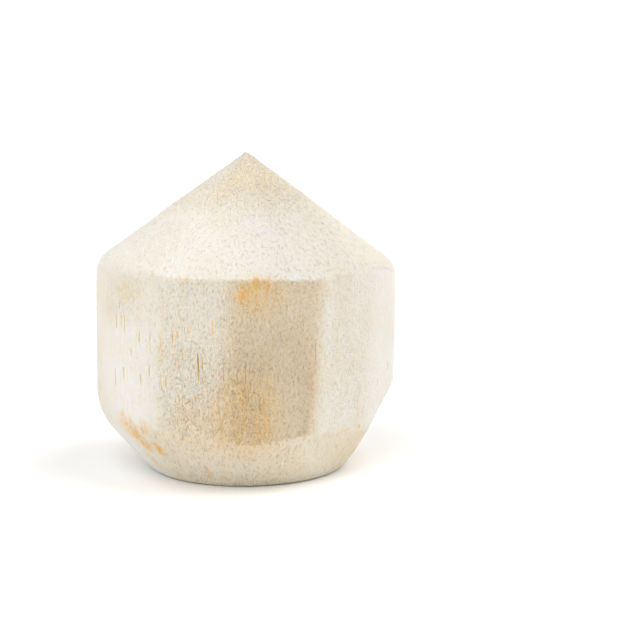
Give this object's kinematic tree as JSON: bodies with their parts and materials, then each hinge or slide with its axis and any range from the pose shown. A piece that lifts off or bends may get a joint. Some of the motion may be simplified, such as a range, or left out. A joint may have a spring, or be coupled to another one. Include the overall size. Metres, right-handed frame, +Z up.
{
  "type": "trimmed young coconut",
  "caption": "Young coconut trimmed for drinking: white husk with a pointed crown, upright sides, a chamfered foot and a flat base to stand on.",
  "frame": {"origin": "centre of the flat base that the coconut stands on", "axes": "+Z up towards the point of the crown, -Y towards the front with the flattest knife cut, +X to the right"},
  "size_m": [0.1214, 0.1193, 0.127],
  "materials": {
    "husk": "matte fibrous white husk, cream with ochre stains"
  },
  "bodies": {
    "root": {"husk": "husk"}
  },
  "joints": []
}
